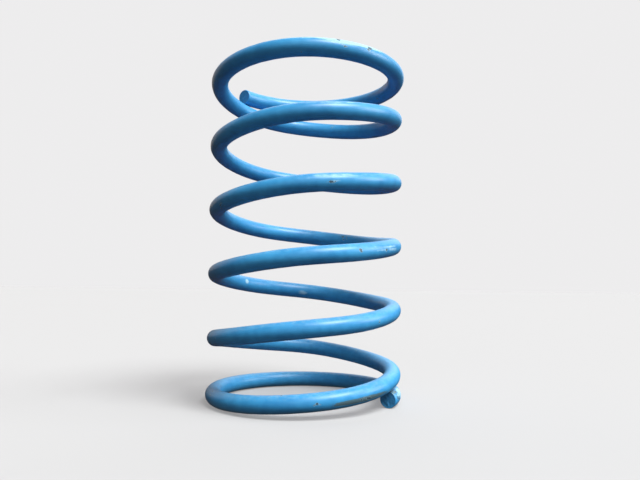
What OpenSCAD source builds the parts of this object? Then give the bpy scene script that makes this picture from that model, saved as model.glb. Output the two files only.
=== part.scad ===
// Cylindrical compression spring for a car suspension.
// One round steel bar, wound into a right-handed helix with closed, unground ends.
// The bar is laid out as a chain of flat arcs. The helix comes from the twist of the bar
// between neighbouring arcs, and that twist is what a coil spring gives up as it is pressed
// together. Each hinge axis is therefore the bar's own centre line.
// Millimetres, +Z up along the coil axis, origin on that axis where the lower coil stands.

/* [Bar] */
// Diameter of the round bar
bar_d = 12; // [8:0.5:16]

/* [Coil] */
// Radius of the bar's centre line in each arc
coil_r = 64.5; // [50:0.5:80]
// Sweep of each quarter-turn arc, degrees
arc_sweep = 89.5; // [85:0.5:95]
// Twist of the bar between two arcs of the open coils, degrees
full_twist = 10.2; // [6:0.1:14]

/* [End coils] */
// Sweep of the flat stretch that lies on the spring seat, degrees
seat_sweep = 221; // [200:1:250]
// Share of the full twist at each of the two joints where an end coil starts to climb
climb_share = 0.5; // [0.4:0.05:0.6]
// Where the lower cut end lies, degrees about the axis from +X
tip_angle = -25; // [-180:5:180]

/* [Fit] */
// Straight, truly round length at each end of an arc, on the axis that it turns about
land = 0.75; // [0.5:0.25:2]
// How far that straight length is relieved below the bar's surface
relief = 0.03; // [0.02:0.01:0.1]
// Running gap between two arcs that turn on each other
joint_gap = 0.04; // [0.02:0.01:0.2]

/* [Finish] */
// Colour of the paint
paint = "#3F8CD0"; // color

/* [Hidden] */
NODES = [
    "lower_coil_cut_end", "lower_coil_seat_arc", "lower_coil_rise_1", "lower_coil_rise_2",
    "active_coil_1a", "active_coil_1b", "active_coil_1c", "active_coil_1d",
    "active_coil_2a", "active_coil_2b", "active_coil_2c", "active_coil_2d",
    "active_coil_3a", "active_coil_3b", "active_coil_3c", "active_coil_3d",
    "active_coil_4a", "active_coil_4b", "active_coil_4c", "active_coil_4d",
    "active_coil_5a", "upper_coil_rise_2", "upper_coil_rise_1", "upper_coil_seat_arc",
    "upper_coil_cut_end"
];
last = len(NODES) - 1;
// arcs that belong to each end coil, and the last joints that stay rigid in it
end_arcs = 4;
// how far a straight land reaches into its arc, so that the two are one solid
bite = 0.2;

// Sweep of arc i: the flat stretch is cut in two equal arcs at either end
function sweep(i) = (i <= 1 || i >= last - 1) ? seat_sweep / 2 : arc_sweep;

// Twist of the bar where arc i meets arc i + 1
function joint_twist(i) =
    (i == 0 || i == last - 1) ? 0 :
    (i <= 2 || i >= last - 3) ? full_twist * climb_share : full_twist;

// True where the joint between arc i and arc i + 1 moves
function is_hinge(i) = i >= end_arcs - 1 && i <= last - end_arcs;

// Steps that carry a frame along an arc of sweep a, straight ahead by l, or round the bar by t
function along(a) = [
    [cos(a), -sin(a), 0, coil_r * sin(a)],
    [sin(a), cos(a), 0, coil_r * (1 - cos(a))],
    [0, 0, 1, 0],
    [0, 0, 0, 1]];
function ahead(l) = [
    [1, 0, 0, l],
    [0, 1, 0, 0],
    [0, 0, 1, 0],
    [0, 0, 0, 1]];
function turned(t) = [
    [1, 0, 0, 0],
    [0, cos(t), -sin(t), 0],
    [0, sin(t), cos(t), 0],
    [0, 0, 0, 1]];

// The lower cut end: x runs along the bar, y points at the coil axis, z is up
tip = [
    [-sin(tip_angle), -cos(tip_angle), 0, coil_r * cos(tip_angle)],
    [cos(tip_angle), -sin(tip_angle), 0, coil_r * sin(tip_angle)],
    [0, 0, 1, bar_d / 2],
    [0, 0, 0, 1]];

// Frame at the start of arc i, carried on from the arc before it
function place(i) = i == 0 ? tip :
    place(i - 1) * ahead(first_land(i - 1)) * along(sweep(i - 1)) * ahead(land)
    * turned(joint_twist(i - 1));
function first_land(i) = i == 0 ? 0 : land;

// A straight piece of the bar, from x = a to x = b
module straight(a, b) {
    translate([a, 0, 0]) rotate([0, 90, 0]) cylinder(d = bar_d - 2 * relief, h = b - a, $fn = 24);
}

// One round bar, bent to a flat arc between two short straight lands
module bar_arc(i) {
    gap_in = i > 0 && is_hinge(i - 1) ? joint_gap / 2 : 0;
    gap_out = i < last && is_hinge(i) ? joint_gap / 2 : 0;
    multmatrix(place(i)) {
        if (i > 0) straight(gap_in, land + bite);
        translate([first_land(i), coil_r, 0])
            rotate([0, 0, -90])
            rotate_extrude(angle = sweep(i), $fn = 72)
            translate([coil_r, 0])
            circle(d = bar_d, $fn = 24);
        if (i < last)
            multmatrix(ahead(first_land(i)) * along(sweep(i))) straight(-bite, land - gap_out);
    }
}

// Lower end coil: cut end and the first half of the flat stretch on the lower seat
module lower_coil_cut_end() { color(paint) bar_arc(0); }
// Second half of the flat stretch on the lower seat
module lower_coil_seat_arc() { color(paint) bar_arc(1); }
// First arc that climbs off the lower seat
module lower_coil_rise_1() { color(paint) bar_arc(2); }
// Second climbing arc, which passes over the cut end
module lower_coil_rise_2() { color(paint) bar_arc(3); }
// Open coils, quarter turn by quarter turn from the bottom up
module active_coil_1a() { color(paint) bar_arc(4); }
module active_coil_1b() { color(paint) bar_arc(5); }
module active_coil_1c() { color(paint) bar_arc(6); }
module active_coil_1d() { color(paint) bar_arc(7); }
module active_coil_2a() { color(paint) bar_arc(8); }
module active_coil_2b() { color(paint) bar_arc(9); }
module active_coil_2c() { color(paint) bar_arc(10); }
module active_coil_2d() { color(paint) bar_arc(11); }
module active_coil_3a() { color(paint) bar_arc(12); }
module active_coil_3b() { color(paint) bar_arc(13); }
module active_coil_3c() { color(paint) bar_arc(14); }
module active_coil_3d() { color(paint) bar_arc(15); }
module active_coil_4a() { color(paint) bar_arc(16); }
module active_coil_4b() { color(paint) bar_arc(17); }
module active_coil_4c() { color(paint) bar_arc(18); }
module active_coil_4d() { color(paint) bar_arc(19); }
module active_coil_5a() { color(paint) bar_arc(20); }
// Upper end coil: the arc that passes under the upper cut end
module upper_coil_rise_2() { color(paint) bar_arc(21); }
// Last arc that climbs to the upper seat
module upper_coil_rise_1() { color(paint) bar_arc(22); }
// First half of the flat stretch under the upper seat
module upper_coil_seat_arc() { color(paint) bar_arc(23); }
// Second half of the flat stretch, up to the upper cut end
module upper_coil_cut_end() { color(paint) bar_arc(24); }

lower_coil_cut_end();
lower_coil_seat_arc();
lower_coil_rise_1();
lower_coil_rise_2();
active_coil_1a();
active_coil_1b();
active_coil_1c();
active_coil_1d();
active_coil_2a();
active_coil_2b();
active_coil_2c();
active_coil_2d();
active_coil_3a();
active_coil_3b();
active_coil_3c();
active_coil_3d();
active_coil_4a();
active_coil_4b();
active_coil_4c();
active_coil_4d();
active_coil_5a();
upper_coil_rise_2();
upper_coil_rise_1();
upper_coil_seat_arc();
upper_coil_cut_end();
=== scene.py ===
"""Looks for the coil spring: one painted steel bar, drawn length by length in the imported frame.

Lengths are in metres unless a comment says mm. +Z runs up the coil axis, and the spring stands on
z = 0.
"""

import math

import bpy
import numpy as np
from mathutils import Matrix, Vector


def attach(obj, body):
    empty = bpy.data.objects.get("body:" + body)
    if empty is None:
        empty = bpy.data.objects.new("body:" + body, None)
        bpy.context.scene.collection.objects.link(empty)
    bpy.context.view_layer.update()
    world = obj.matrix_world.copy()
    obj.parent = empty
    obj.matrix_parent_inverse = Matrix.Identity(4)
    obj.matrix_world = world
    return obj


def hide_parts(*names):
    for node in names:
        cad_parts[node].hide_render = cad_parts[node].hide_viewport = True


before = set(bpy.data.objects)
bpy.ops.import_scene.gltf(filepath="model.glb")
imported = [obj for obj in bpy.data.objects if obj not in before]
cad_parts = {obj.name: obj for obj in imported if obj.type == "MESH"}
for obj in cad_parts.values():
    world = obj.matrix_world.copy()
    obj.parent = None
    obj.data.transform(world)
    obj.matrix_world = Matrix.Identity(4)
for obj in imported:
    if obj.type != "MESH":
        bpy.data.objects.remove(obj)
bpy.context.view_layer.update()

MM = 0.001
DEG = math.pi / 180

# ---- Driving dimensions, the same as the CAD model's ------------------------------------------
BAR_R = 6.0 * MM  # radius of the round bar
COIL_R = 64.5 * MM  # radius of the centre line in each arc
ARC_SWEEP = 89.5 * DEG  # a quarter-turn arc
FULL_TWIST = 10.2 * DEG  # twist of the bar between two arcs of the open coils
CLIMB_SHARE = 0.5  # share of it where an end coil starts to climb
SEAT_SWEEP = 221 * DEG  # the flat stretch of an end coil, drawn as two arcs
TIP_ANGLE = -25 * DEG  # where the lower cut end lies, from +X
LAND = 0.75 * MM  # straight length at each end of an arc

ACTIVE_ARCS = 17
ACTIVE = [f"active_coil_{1 + i // 4}{'abcd'[i % 4]}" for i in range(ACTIVE_ARCS)]
LOWER = ["lower_coil_cut_end", "lower_coil_seat_arc", "lower_coil_rise_1", "lower_coil_rise_2"]
UPPER = ["upper_coil_rise_2", "upper_coil_rise_1", "upper_coil_seat_arc", "upper_coil_cut_end"]
NODES = LOWER + ACTIVE + UPPER
LAST = len(NODES) - 1
BODY_OF = {n: "lower_end_coil" for n in LOWER}
BODY_OF.update({n: n for n in ACTIVE})
BODY_OF.update({n: "upper_end_coil" for n in UPPER})

# ---- Mesh fineness ----------------------------------------------------------------------------
ROUND = 64  # faces around the bar
RING_STEP = 1.3 * MM  # spacing of the rings along it
EDGE_STEP = 0.12 * MM  # the ring next to a joint, so that shading runs straight across the joint
JOINT_SLIT = 0.02 * MM  # left between neighbouring lengths, so they turn without touching
CHAMFER = 0.55 * MM  # broken edge of a cut end
CUT_RINGS = 9  # rings across a cut face


# ---- The bar's centre line --------------------------------------------------------------------
def moved(x, y=0.0, turn_z=0.0, turn_x=0.0):
    """4x4 step: to (x, y), turned about z or about x."""
    m = np.eye(4)
    c, s = math.cos(turn_z), math.sin(turn_z)
    m[:2, :2] = [[c, -s], [s, c]]
    if turn_x:
        c, s = math.cos(turn_x), math.sin(turn_x)
        m[1:3, 1:3] = [[c, -s], [s, c]]
    m[0, 3], m[1, 3] = x, y
    return m


def along(a):
    """4x4 step along an arc that turns by a."""
    return moved(COIL_R * math.sin(a), COIL_R * (1 - math.cos(a)), turn_z=a)


def sweep(i):
    """Turn of arc i. The first two and the last two are the flat stretches of the end coils."""
    return SEAT_SWEEP / 2 if i <= 1 or i >= LAST - 1 else ARC_SWEEP


def joint_twist(i):
    """Twist of the bar between arc i and arc i + 1."""
    if i in (0, LAST - 1):
        return 0.0
    return FULL_TWIST * (CLIMB_SHARE if i <= 2 or i >= LAST - 3 else 1.0)


def chain():
    """Frames at the two ends of each arc: x runs along the bar, y points at the arc's centre."""
    c, s = math.cos(TIP_ANGLE), math.sin(TIP_ANGLE)
    tip = np.array([
        [-s, -c, 0, COIL_R * c],
        [c, -s, 0, COIL_R * s],
        [0, 0, 1, BAR_R],
        [0, 0, 0, 1],
    ])
    at, out = tip, []
    for i in range(LAST + 1):
        end = at @ moved(LAND if i else 0) @ along(sweep(i)) @ moved(LAND if i < LAST else 0)
        out.append((at, end))
        if i < LAST:
            at = end @ moved(0, turn_x=joint_twist(i))
    return out


ARCS = chain()
LENGTHS = [COIL_R * sweep(i) + LAND * ((i > 0) + (i < LAST)) for i in range(LAST + 1)]
STARTS = np.concatenate([[0.0], np.cumsum(LENGTHS)])


def mean_normal(i):
    """Direction of curvature at joint i: halfway between the two arcs that meet there."""
    if i < 0:
        return ARCS[0][0][:3, 1]
    if i >= LAST:
        return ARCS[LAST][1][:3, 1]
    n = ARCS[i][1][:3, 1] + ARCS[i + 1][0][:3, 1]
    return n / np.linalg.norm(n)


# powers of t, from the point, slope and half second derivative at t = 0 and the point, slope and
# second derivative at t = 1
QUINTIC = np.array([
    [1, 0, 0, 0, 0, 0],
    [0, 1, 0, 0, 0, 0],
    [0, 0, 1, 0, 0, 0],
    [-10, -6, -3, 10, -4, 0.5],
    [15, 8, 3, -15, 7, -1],
    [-6, -3, -1, 6, -3, 0.5],
])


def centre_line(i, s):
    """Points, tangents and curvature directions of arc i at the lengths s along it.

    A quintic through the arc's two ends, along the hinge axes there, with the same curvature on
    both sides of every joint, so that the bar is smooth from end to end.
    """
    (a, b), length = ARCS[i], LENGTHS[i]
    curve = sweep(i) / length
    p0, p1 = a[:3, 3], b[:3, 3]
    v0, v1 = a[:3, 0] * length, b[:3, 0] * length
    w0, w1 = mean_normal(i - 1) * curve * length**2, mean_normal(i) * curve * length**2
    rows = np.array([p0, v0, w0 / 2, p1, v1, w1])
    k = QUINTIC @ rows
    t = (np.asarray(s) / length)[:, None]
    powers = np.concatenate([t**n for n in range(6)], axis=1)
    slopes = np.concatenate([n * t ** max(n - 1, 0) for n in range(6)], axis=1)
    point, tangent = powers @ k, slopes @ k
    return point, tangent / np.linalg.norm(tangent, axis=1)[:, None]


def section_axes(point, tangent):
    """Outward and upward directions of the bar's cross-section, square to the bar."""
    out = point * [1, 1, 0]
    out -= tangent * np.sum(out * tangent, axis=1)[:, None]
    out /= np.linalg.norm(out, axis=1)[:, None]
    up = np.cross(out, tangent)
    up *= np.sign(up[:, 2])[:, None]
    return out, up


# ---- Unevenness of the bar --------------------------------------------------------------------
WAVE_GAIN = 1.4  # brings a sum of waves to about -1 to 1
SOFT = (11, 14, 60 * MM, 9 * MM)  # seed, count, longest and shortest wave
FINE = (12, 16, 8 * MM, 3.5 * MM)
HOLLOW_MEAN, HOLLOW_SOFT, HOLLOW_FINE, HOLLOW_MOST = 0.07, 0.035, 0.012, 0.2  # mm


def waves(s, phi, seed, count, longest, shortest):
    """Smooth seeded noise along and around the bar, about -1 to 1."""
    rng = np.random.default_rng(seed)
    total = np.zeros(np.broadcast(s, phi).shape)
    for _ in range(count):
        span = longest * (shortest / longest) ** rng.random()
        turns = rng.integers(0, 4)
        total += np.sin(2 * math.pi * s / span + turns * phi + rng.random() * 2 * math.pi)
    return total / math.sqrt(count) / WAVE_GAIN


def hollow(s, phi):
    """How far the surface lies inside the nominal bar."""
    depth = HOLLOW_MEAN + HOLLOW_SOFT * waves(s, phi, *SOFT) + HOLLOW_FINE * waves(s, phi, *FINE)
    return MM * depth.clip(0, HOLLOW_MOST)


# ---- Where the paint is worn, and where a pale glare is painted -------------------------------
FADE_RATE, FADE_POWER = 1.1, 1.5  # how a spot, worn or painted glare, fades outwards

# node, share of its length, degrees around the bar (0 outward, 90 up), half length mm, half width
# degrees, strength
# Pale patches: the small ones are rubbed wear. The large ones, on the upper and outer side of the
# front coils and the top coil, are a painted pale glare where the key light falls.
RUBBED_AND_GLARE = [
    ("upper_coil_rise_1", 0.93, 66, 22, 30, 0.95),
    ("upper_coil_seat_arc", 0.11, 52, 26, 34, 1.2),
    ("upper_coil_seat_arc", 0.45, 88, 40, 24, 0.5),
    ("upper_coil_cut_end", 0.45, 90, 45, 22, 0.45),
    ("upper_coil_rise_1", 0.62, 62, 24, 26, 0.5),
    ("active_coil_4d", 0.04, 46, 36, 26, 0.48),
    ("active_coil_3d", 0.02, 40, 40, 26, 0.48),
    ("active_coil_2d", 0.45, 10, 20, 30, 0.55),
    ("active_coil_2b", 0.42, 164, 3, 22, 1.0),
    ("active_coil_2a", 0.87, -164, 7, 22, 0.6),
    ("active_coil_3d", 0.01, -4, 6, 20, 0.5),
    ("lower_coil_cut_end", 0.12, 30, 12, 45, 0.8),
]
SCRAPED = [
    ("lower_coil_rise_2", 0.205, -20, 24, 21, 1.1),
    ("lower_coil_cut_end", 0.5, -90, 60, 24, 0.85),
    ("lower_coil_seat_arc", 0.5, -90, 64, 22, 0.85),
    ("lower_coil_rise_1", 0.3, -90, 30, 18, 0.6),
    ("upper_coil_seat_arc", 0.8, 90, 30, 14, 0.5),
    ("upper_coil_cut_end", 0.6, 90, 40, 14, 0.5),
    ("lower_coil_cut_end", 0.02, 60, 9, 34, 0.7),
    ("lower_coil_rise_2", 0.42, -84, 10, 22, 0.8),
    ("upper_coil_rise_2", 0.6, 84, 9, 20, 0.7),
    ("upper_coil_cut_end", 0.98, -70, 8, 30, 0.7),
]
CHIPPED = [
    ("upper_coil_seat_arc", 0.03, 40, 2.2, 22, 1.0),
    ("upper_coil_seat_arc", 0.06, 4, 2.0, 16, 1.0),
    ("upper_coil_seat_arc", 0.20, 26, 3.2, 22, 1.0),
    ("active_coil_3d", 0.01, -8, 3.0, 14, 1.0),
    ("active_coil_2d", 0.19, 8, 2.4, 16, 1.0),
    ("active_coil_2d", 0.40, -4, 2.4, 12, 1.0),
    ("active_coil_2d", 0.60, -4, 2.6, 24, 1.0),
    ("lower_coil_rise_1", 0.92, -4, 1.6, 14, 0.9),
    ("lower_coil_cut_end", 0.05, 20, 4, 40, 0.9),
    ("lower_coil_rise_2", 0.25, -20, 8, 20, 0.6),
    ("active_coil_1b", 0.55, 40, 6, 30, 0.6),
    ("active_coil_4b", 0.35, 25, 5, 30, 0.6),
    ("active_coil_4d", 0.7, 70, 6, 30, 0.6),
    ("active_coil_3a", 0.5, 150, 5, 30, 0.6),
    ("active_coil_1c", 0.2, 10, 4, 24, 0.6),
]


def spot_strength(spots, s, phi):
    """Strength of the listed spots at the lengths s along the whole bar and the angles phi."""
    total = np.zeros(np.broadcast(s, phi).shape)
    for node, share, angle, half_length, half_angle, strength in spots:
        i = NODES.index(node)
        along_it = (s - STARTS[i] - share * LENGTHS[i]) / (half_length * MM)
        round_it = (phi - angle * DEG + math.pi) % (2 * math.pi) - math.pi
        far = along_it**2 + (round_it / (half_angle * DEG)) ** 2
        total = np.maximum(total, strength * np.exp(-FADE_RATE * far**FADE_POWER))
    return total


# ---- One visible length of the bar ------------------------------------------------------------
CHAMFER_EVEN, CHAMFER_WAVE = 0.8, 0.2  # shares of the chamfer: the same all round, and varying
SHEAR_DEPTH = 0.16 * MM  # roughness of a cut face
SHEAR_SET_BACK = 0.12 * MM  # how far its middle lies inside the bar's end
SHEAR_SEED, SHEAR_WAVES = 21, (12, 9 * MM, 2 * MM)  # count, longest and shortest wave
SHEAR_EDGE_POWER = 6  # the roughness fades out towards the rim

PHI = np.arange(ROUND) * 2 * math.pi / ROUND
HERE = np.arange(ROUND)  # numbers of the vertices in one ring
NEXT = (HERE + 1) % ROUND


def ring_stations(length, cut_start, cut_end):
    """Lengths along one piece at which it has a ring of vertices."""
    first = 0.0 if cut_start else JOINT_SLIT / 2
    last = length if cut_end else length - JOINT_SLIT / 2
    inner_from = CHAMFER if cut_start else EDGE_STEP
    inner_to = length - (CHAMFER if cut_end else EDGE_STEP)
    n = round((inner_to - inner_from) / RING_STEP)
    return np.concatenate([[first], np.linspace(inner_from, inner_to, n + 1), [last]])


def broken_edge(far):
    """Uneven chamfer at the start (far 0) or the end (far 1) of the bar."""
    return CHAMFER * (CHAMFER_EVEN + CHAMFER_WAVE * np.sin(2 * PHI + 1 + far))


def in_bar(length_here, radius):
    """Coordinates that the paint is laid out in, in mm: along the bar and across it, two ways."""
    along_it = np.broadcast_to(length_here, radius.shape)
    xyz = np.stack([along_it, radius * np.cos(PHI), radius * np.sin(PHI)], axis=-1)
    return xyz.reshape(-1, 3) / MM


def cap(rim, first, point, spoke, tangent, radius, length_here, far, cut):
    """Disc that closes one end, from its rim to its middle. A cut end is rough, a joint flat.

    rim holds the numbers of the rim's vertices, and first is the number of the disc's own first
    vertex. Returns its vertices, their coordinates in the bar, and its faces.
    """
    verts, coords, faces = [], [], []
    before = rim
    steps = CUT_RINGS if cut else 1
    outward = 1 if far else -1
    for step in range(1, steps):
        share = 1 - step / steps
        r = radius * share
        bumps = waves(r * np.cos(PHI), r * np.sin(PHI) / (2 * MM), SHEAR_SEED + far, *SHEAR_WAVES)
        rough = SHEAR_DEPTH * bumps * (1 - share**SHEAR_EDGE_POWER) - SHEAR_SET_BACK
        verts.append(point + spoke * r[:, None] + tangent * (outward * rough)[:, None])
        coords.append(in_bar(length_here, r))
        now = first + HERE
        first += ROUND
        quads = [before, now, now[NEXT], before[NEXT]]
        faces += np.stack(quads if far else quads[::-1], axis=1).tolist()
        before = now
    set_back = SHEAR_SET_BACK if cut else 0.0
    verts.append((point - tangent * outward * set_back)[None])
    coords.append(np.array([[length_here / MM, 0, 0]]))
    tips = [before, np.full(ROUND, first), before[NEXT]]
    faces += np.stack(tips if far else tips[::-1], axis=1).tolist()
    return np.concatenate(verts), np.concatenate(coords), faces


def store(mesh, name, kind, domain, key, values):
    """Write one attribute of a mesh."""
    mesh.attributes.new(name, kind, domain).data.foreach_set(key, values)


def bar_piece(i):
    """The visible length of bar that stands for node i."""
    node = NODES[i]
    cut_start, cut_end = i == 0, i == LAST
    s = ring_stations(LENGTHS[i], cut_start, cut_end)
    point, tangent = centre_line(i, s)
    out, up = section_axes(point, tangent)
    spoke = out[:, None] * np.cos(PHI)[:, None] + up[:, None] * np.sin(PHI)[:, None]
    length_here = (STARTS[i] + s)[:, None]
    radius = BAR_R - hollow(length_here, PHI[None, :])
    if cut_start:
        radius[0] -= broken_edge(0)
    if cut_end:
        radius[-1] -= broken_edge(1)

    verts = [(point[:, None] + spoke * radius[..., None]).reshape(-1, 3)]
    coords = [in_bar(length_here, radius)]
    faces = []
    for r in range(len(s) - 1):
        a, b = r * ROUND + HERE, (r + 1) * ROUND + HERE
        faces += np.stack([a, b, b[NEXT], a[NEXT]], axis=1).tolist()
    smooth = [True] * len(faces)
    on_tube = len(verts[0])
    count = on_tube
    cut_flag = [np.zeros(on_tube)]
    rims = set()
    for far, cut in ((0, cut_start), (1, cut_end)):
        ring = far * (len(s) - 1)
        rim = ring * ROUND + HERE
        rims |= {frozenset(pair) for pair in zip(rim.tolist(), rim[NEXT].tolist())}
        disc, disc_coords, disc_faces = cap(
            rim, count, point[ring], spoke[ring], tangent[ring], radius[ring],
            STARTS[i] + s[ring], far, cut,
        )
        verts.append(disc)
        coords.append(disc_coords)
        cut_flag.append(np.full(len(disc), float(cut)))
        faces += disc_faces
        smooth += [cut] * len(disc_faces)
        count += len(disc)

    mesh = bpy.data.meshes.new(node + "_bar")
    mesh.from_pydata(np.concatenate(verts).tolist(), [], faces)
    mesh.update()
    mesh.polygons.foreach_set("use_smooth", smooth)
    sharp = [frozenset(edge.vertices) in rims for edge in mesh.edges]
    store(mesh, "sharp_edge", "BOOLEAN", "EDGE", "value", sharp)
    store(mesh, "bar_co", "FLOAT_VECTOR", "POINT", "vector", np.concatenate(coords).ravel())
    store(mesh, "cut", "FLOAT", "POINT", "value", np.concatenate(cut_flag))
    # the rubbed patches hold rubbed wear and a painted pale glare on the lit front coils
    for name, spots in (("rubbed_and_glare", RUBBED_AND_GLARE), ("scraped", SCRAPED), ("chipped", CHIPPED)):
        values = np.zeros(count)
        values[:on_tube] = spot_strength(spots, length_here, PHI).ravel()
        store(mesh, name, "FLOAT", "POINT", "value", values)
    piece = bpy.data.objects.new("bar_" + node, mesh)
    bpy.context.scene.collection.objects.link(piece)
    mesh.materials.append(PAINT)
    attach(piece, BODY_OF[node])
    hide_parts(node)
    return piece


# ---- Materials --------------------------------------------------------------------------------
FILM_DARK = (0.027, 0.235, 0.545, 1)
FILM_LIGHT = (0.045, 0.325, 0.675, 1)
STREAK_BLUE = (0.085, 0.37, 0.66, 1)
# pale dust colour, also a painted pale sheen on the upper side
DUST_AND_SHEEN = (0.32, 0.5, 0.55, 1)
CHALK_AND_GLARE = (0.36, 0.60, 0.76, 1)  # pale rubbed film, and the painted pale glare
STEEL_DARK = (0.045, 0.1, 0.13, 1)
STEEL_LIGHT = (0.18, 0.3, 0.35, 1)
CHIP_RIM = (0.34, 0.58, 0.76, 1)
CHIP_DARK = (0.026, 0.06, 0.09, 1)
SHEAR_DARK = (0.012, 0.09, 0.26, 1)
SHEAR_LIGHT = (0.05, 0.26, 0.52, 1)
FLOOR_GREY = (0.304, 0.31, 0.334, 1)
WHITE = (1, 1, 1, 1)

# how far each layer covers what is under it
STREAK_COVER, DUST_AND_SHEEN_COVER, RUB_AND_GLARE_COVER, SCRAPE_COVER = 0.3, 0.3, 0.85, 0.92
RIM_COVER, CHIP_COVER, SHEAR_COVER = 0.55, 0.9, 0.6

# roughness of the film, and what mottling, dull film and bare steel add to it
ROUGH_FILM, ROUGH_MOTTLE, ROUGH_DULLED, ROUGH_BARE = 0.31, 0.16, 0.22, 0.14
ROUGH_DUST_AND_SHEEN = 0.6  # how dull the dust on the upper side, which also carries a painted sheen, is beside rubbed film
SCRAPE_METAL = 0.35
PAINT_SPECULAR = 0.5

# relief: heights of the peel, the lines and the shear marks, depth of bare places
PEEL_HEIGHT, LINE_HEIGHT, SHEAR_HEIGHT, BARE_DEPTH = 0.35, 0.22, 1.2, 0.5
RELIEF_STRENGTH, RELIEF_DISTANCE = 0.35, 0.25 * MM

# chips: cell size, how much of a cell the strongest chip fills, width of its pale rim
CHIP_CELLS, CHIP_STRETCH = 0.36, (0.8, 1.0, 1.0)
CHIP_REACH, CHIP_RIM_WIDTH, CHIP_RAGGED = 0.62, 0.09, 0.55
STRAY_STRENGTH = 0.42

FLOOR_ROUGH, FLOOR_SPECULAR, FLOOR_GLOW = 0.9, 0.1, 0.26


class Nodes:
    """Short hand for building a node tree."""

    def __init__(self, material):
        material.use_nodes = True
        self.tree = material.node_tree
        self.shader = self.tree.nodes["Principled BSDF"]

    def add(self, kind, inputs, **settings):
        node = self.tree.nodes.new(kind)
        for name, value in settings.items():
            setattr(node, name, value)
        for name, value in inputs.items():
            self.put(node, name, value)
        return node

    def put(self, node, name, value):
        """Link a socket, or set its own value."""
        if isinstance(value, bpy.types.NodeSocket):
            self.tree.links.new(value, node.inputs[name])
        else:
            node.inputs[name].default_value = value

    def attribute(self, name, output="Fac"):
        return self.add("ShaderNodeAttribute", {}, attribute_name=name).outputs[output]

    def math(self, operation, a, b):
        return self.add("ShaderNodeMath", {0: a, 1: b}, operation=operation).outputs[0]

    def plus(self, a, b):
        return self.math("ADD", a, b)

    def minus(self, a, b):
        return self.math("SUBTRACT", a, b)

    def times(self, a, b):
        return self.math("MULTIPLY", a, b)

    def larger(self, a, b):
        return self.math("MAXIMUM", a, b)

    def swing(self, noise, gain):
        """Noise about 0 instead of 0.5, times gain."""
        return self.times(self.minus(noise, 0.5), gain)

    def scaled(self, vector, scale):
        node = self.add("ShaderNodeVectorMath", {0: vector, 1: scale}, operation="MULTIPLY")
        return node.outputs[0]

    def noise(self, vector, scale, detail, roughness=0.5):
        """Noise from 0 to 1 whose scale is in cells per mm."""
        inputs = {"Vector": vector, "Scale": scale, "Detail": detail, "Roughness": roughness}
        return self.add("ShaderNodeTexNoise", inputs).outputs["Fac"]

    def ramp(self, value, low, high):
        """0 below low, 1 above high, smooth between."""
        inputs = {"Value": value, "From Min": low, "From Max": high}
        node = self.add("ShaderNodeMapRange", inputs, interpolation_type="SMOOTHSTEP")
        return node.outputs["Result"]

    def mix(self, factor, a, b):
        return self.add("ShaderNodeMix", {0: factor, 6: a, 7: b}, data_type="RGBA").outputs[2]


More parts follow.
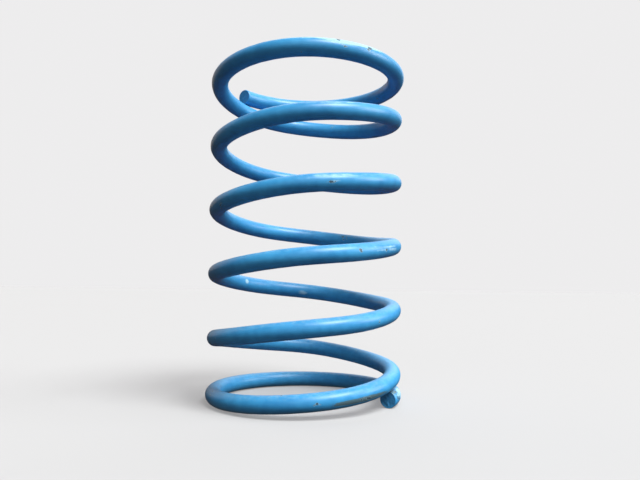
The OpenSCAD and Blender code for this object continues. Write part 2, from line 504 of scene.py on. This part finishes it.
def blue_paint():
    """Semi-gloss blue paint over steel: uneven film, dust with a painted pale sheen on top,
    rubbed places and a painted pale glare, scraped places, chips.
    """
    material = bpy.data.materials.new("blue_paint")
    n = Nodes(material)
    bar = n.attribute("bar_co", "Vector")
    cut, rubbed_and_glare, scraped, chipped = (
        n.attribute(name) for name in ("cut", "rubbed_and_glare", "scraped", "chipped")
    )

    # the paint film: slow drift of tone, soft mottling, faint lines drawn along the bar
    drift = n.noise(bar, scale=0.02, detail=2)
    mottle = n.noise(bar, scale=0.16, detail=3, roughness=0.55)
    streak = n.noise(n.scaled(bar, (0.05, 0.9, 0.9)), scale=1.0, detail=3, roughness=0.6)
    grain = n.noise(bar, scale=1.6, detail=3, roughness=0.6)
    tone = n.plus(n.times(drift, 0.55), n.times(mottle, 0.45))
    colour = n.mix(n.ramp(tone, 0.32, 0.68), FILM_DARK, FILM_LIGHT)
    colour = n.mix(n.times(n.ramp(streak, 0.52, 0.75), STREAK_COVER), colour, STREAK_BLUE)

    # dust on the upper side, and with it a painted pale sheen where the light falls on top
    normal = n.add("ShaderNodeNewGeometry", {}).outputs["Normal"]
    upward = n.add("ShaderNodeSeparateXYZ", {0: normal}).outputs["Z"]
    specks = n.ramp(n.noise(bar, scale=0.45, detail=4, roughness=0.65), 0.35, 0.75)
    dust_and_sheen = n.times(n.ramp(upward, 0.35, 1.0), specks)
    colour = n.mix(n.times(dust_and_sheen, DUST_AND_SHEEN_COVER), colour, DUST_AND_SHEEN)

    # rubbed wear, and a painted pale glare on the lit upper side of the front coils: the gloss is
    # gone and the film is chalky and pale
    rub_and_glare_edge = n.plus(n.plus(rubbed_and_glare, n.swing(mottle, 0.9)), n.swing(streak, 0.8))
    rub_and_glare = n.times(n.ramp(rub_and_glare_edge, 0.35, 0.75), n.ramp(rubbed_and_glare, 0.02, 0.2))
    colour = n.mix(n.times(rub_and_glare, RUB_AND_GLARE_COVER), colour, CHALK_AND_GLARE)

    # scraped: worn through to dull steel with old oil in it
    scrape_edge = n.plus(n.plus(scraped, n.swing(grain, 0.9)), n.swing(streak, 0.9))
    scrape = n.times(n.ramp(scrape_edge, 0.45, 0.62), n.ramp(scraped, 0.04, 0.2))
    steel = n.mix(grain, STEEL_DARK, STEEL_LIGHT)
    colour = n.mix(n.times(scrape, SCRAPE_COVER), colour, steel)

    # chips: small spots with a crisp edge and a pale rim, the listed ones and a few strays
    cell_inputs = {"Vector": n.scaled(bar, CHIP_STRETCH), "Scale": CHIP_CELLS}
    cells = n.add("ShaderNodeTexVoronoi", cell_inputs).outputs["Distance"]
    ragged = n.plus(cells, n.swing(grain, CHIP_RAGGED))
    stray = n.times(n.ramp(n.noise(bar, scale=0.07, detail=1), 0.70, 0.78), STRAY_STRENGTH)
    reach = n.times(n.larger(chipped, stray), CHIP_REACH)
    any_chip = n.ramp(reach, 0.03, 0.12)
    chip = n.times(n.ramp(n.minus(reach, ragged), 0.0, 0.05), any_chip)
    wider = n.plus(reach, CHIP_RIM_WIDTH)
    rim = n.times(n.ramp(n.minus(wider, ragged), 0.0, 0.06), any_chip)
    colour = n.mix(n.times(rim, RIM_COVER), colour, CHIP_RIM)
    colour = n.mix(n.times(chip, CHIP_COVER), colour, CHIP_DARK)

    # the cut faces: paint over rough sheared steel
    shear = n.noise(n.scaled(bar, (1.0, 0.35, 1.6)), scale=0.9, detail=3, roughness=0.6)
    sheared = n.mix(shear, SHEAR_DARK, SHEAR_LIGHT)
    colour = n.mix(n.times(cut, SHEAR_COVER), colour, sheared)
    n.put(n.shader, "Base Color", colour)

    # gloss: duller where the film is rubbed or dusty, under the painted glare and sheen too, and
    # on bare or sheared steel
    bare = n.larger(scrape, chip)
    dulled = n.larger(rub_and_glare, n.times(dust_and_sheen, ROUGH_DUST_AND_SHEEN))
    rough = n.plus(n.times(mottle, ROUGH_MOTTLE), ROUGH_FILM)
    rough = n.plus(rough, n.times(dulled, ROUGH_DULLED))
    rough = n.plus(rough, n.times(n.larger(bare, cut), ROUGH_BARE))
    n.put(n.shader, "Roughness", rough)
    n.put(n.shader, "Metallic", n.times(scrape, SCRAPE_METAL))
    n.put(n.shader, "Specular IOR Level", PAINT_SPECULAR)

    # relief: orange peel, drawn lines, chips sunk into the film, shear marks on the cut faces
    peel = n.noise(bar, scale=0.75, detail=2)
    height = n.plus(n.times(peel, PEEL_HEIGHT), n.times(streak, LINE_HEIGHT))
    height = n.minus(height, n.times(bare, BARE_DEPTH))
    height = n.plus(height, n.times(n.times(shear, cut), SHEAR_HEIGHT))
    relief = {"Strength": RELIEF_STRENGTH, "Distance": RELIEF_DISTANCE, "Height": height}
    n.put(n.shader, "Normal", n.add("ShaderNodeBump", relief).outputs[0])
    return material


def floor_material():
    """Pale matt floor. Its faint glow keeps it as bright as the backdrop."""
    material = bpy.data.materials.new("pale_floor")
    n = Nodes(material)
    n.put(n.shader, "Base Color", FLOOR_GREY)
    n.put(n.shader, "Roughness", FLOOR_ROUGH)
    n.put(n.shader, "Specular IOR Level", FLOOR_SPECULAR)
    n.put(n.shader, "Emission Color", WHITE)
    n.put(n.shader, "Emission Strength", FLOOR_GLOW)
    return material


PAINT = blue_paint()
for index in range(LAST + 1):
    bar_piece(index)

# ---- Floor, light and camera ------------------------------------------------------------------
FLOOR_HALF = 20.0
bpy.ops.mesh.primitive_plane_add(size=2 * FLOOR_HALF, location=(0, 0, 0))
floor = bpy.context.object
floor.name = "floor"
floor.data.materials.append(floor_material())
floor.visible_diffuse = False  # a pale floor that doesn't throw light up under the coils
floor.visible_glossy = False


def sun(name, azimuth, elevation, strength, softness, colour=(1, 1, 1), shines=True):
    """A soft distant lamp. Azimuth 0 shines from the camera's side, 90 from the right.

    Softness is the width of the lamp in degrees. One that doesn't shine leaves no highlight.
    """
    data = bpy.data.lights.new(name, "SUN")
    data.energy, data.angle, data.color = strength, softness * DEG, colour
    lamp = bpy.data.objects.new(name, data)
    a, e = azimuth * DEG, elevation * DEG
    source = Vector((math.sin(a) * math.cos(e), -math.cos(a) * math.cos(e), math.sin(e)))
    lamp.rotation_euler = source.to_track_quat("Z", "Y").to_euler()
    lamp.visible_glossy = shines
    bpy.context.scene.collection.objects.link(lamp)


sun("key", azimuth=46, elevation=57, strength=4.6, softness=28, colour=(1, 1, 0.93))
sun("side", azimuth=86, elevation=24, strength=1.85, softness=32, colour=(1, 1, 0.95))
sun(
    "front", azimuth=0, elevation=20, strength=1.0,
    softness=60, colour=(0.9, 0.95, 1), shines=False,
)
sun("rim", azimuth=160, elevation=38, strength=0.9, softness=55)
sun("fill", azimuth=-140, elevation=32, strength=0.5, softness=60, colour=(1, 0.85, 0.7))

AMBIENT_TINT = (1.0, 0.6, 0.4, 1)
AMBIENT_STRENGTH = 0.085
BACKDROP = (0.85, 0.845, 0.85, 1)

world = bpy.data.worlds.new("studio")
bpy.context.scene.world = world
world.use_nodes = True
tree = world.node_tree
ambient = tree.nodes["Background"]
ambient.inputs["Color"].default_value = AMBIENT_TINT
ambient.inputs["Strength"].default_value = AMBIENT_STRENGTH
backdrop = tree.nodes.new("ShaderNodeBackground")
backdrop.inputs["Color"].default_value = BACKDROP
path = tree.nodes.new("ShaderNodeLightPath")
choose = tree.nodes.new("ShaderNodeMixShader")
tree.links.new(path.outputs["Is Camera Ray"], choose.inputs[0])
tree.links.new(ambient.outputs[0], choose.inputs[1])
tree.links.new(backdrop.outputs[0], choose.inputs[2])
tree.links.new(choose.outputs[0], tree.nodes["World Output"].inputs["Surface"])

CAMERA_AT = Vector((0.0105, -0.4405, 0.0831))
CAMERA_PITCH = 2.416 * DEG
CAMERA_ROLL = 0.62 * DEG
SENSOR_MM, LENS_MM = 36.0, 33.39
SHIFT_UP = 0.0348

camera_data = bpy.data.cameras.new("camera")
camera_data.sensor_width = SENSOR_MM
camera_data.lens = LENS_MM
camera_data.shift_y = SHIFT_UP
camera = bpy.data.objects.new("camera", camera_data)
ahead = Vector((0, math.cos(CAMERA_PITCH), math.sin(CAMERA_PITCH)))
level_up = Vector((0, -math.sin(CAMERA_PITCH), math.cos(CAMERA_PITCH)))
level_right = Vector((1, 0, 0))
right = level_right * math.cos(CAMERA_ROLL) + level_up * math.sin(CAMERA_ROLL)
up = level_up * math.cos(CAMERA_ROLL) - level_right * math.sin(CAMERA_ROLL)
camera.matrix_world = Matrix([
    [right.x, up.x, -ahead.x, CAMERA_AT.x],
    [right.y, up.y, -ahead.y, CAMERA_AT.y],
    [right.z, up.z, -ahead.z, CAMERA_AT.z],
    [0, 0, 0, 1],
])
bpy.context.scene.collection.objects.link(camera)
bpy.context.scene.camera = camera
bpy.context.scene.view_settings.view_transform = "Standard"
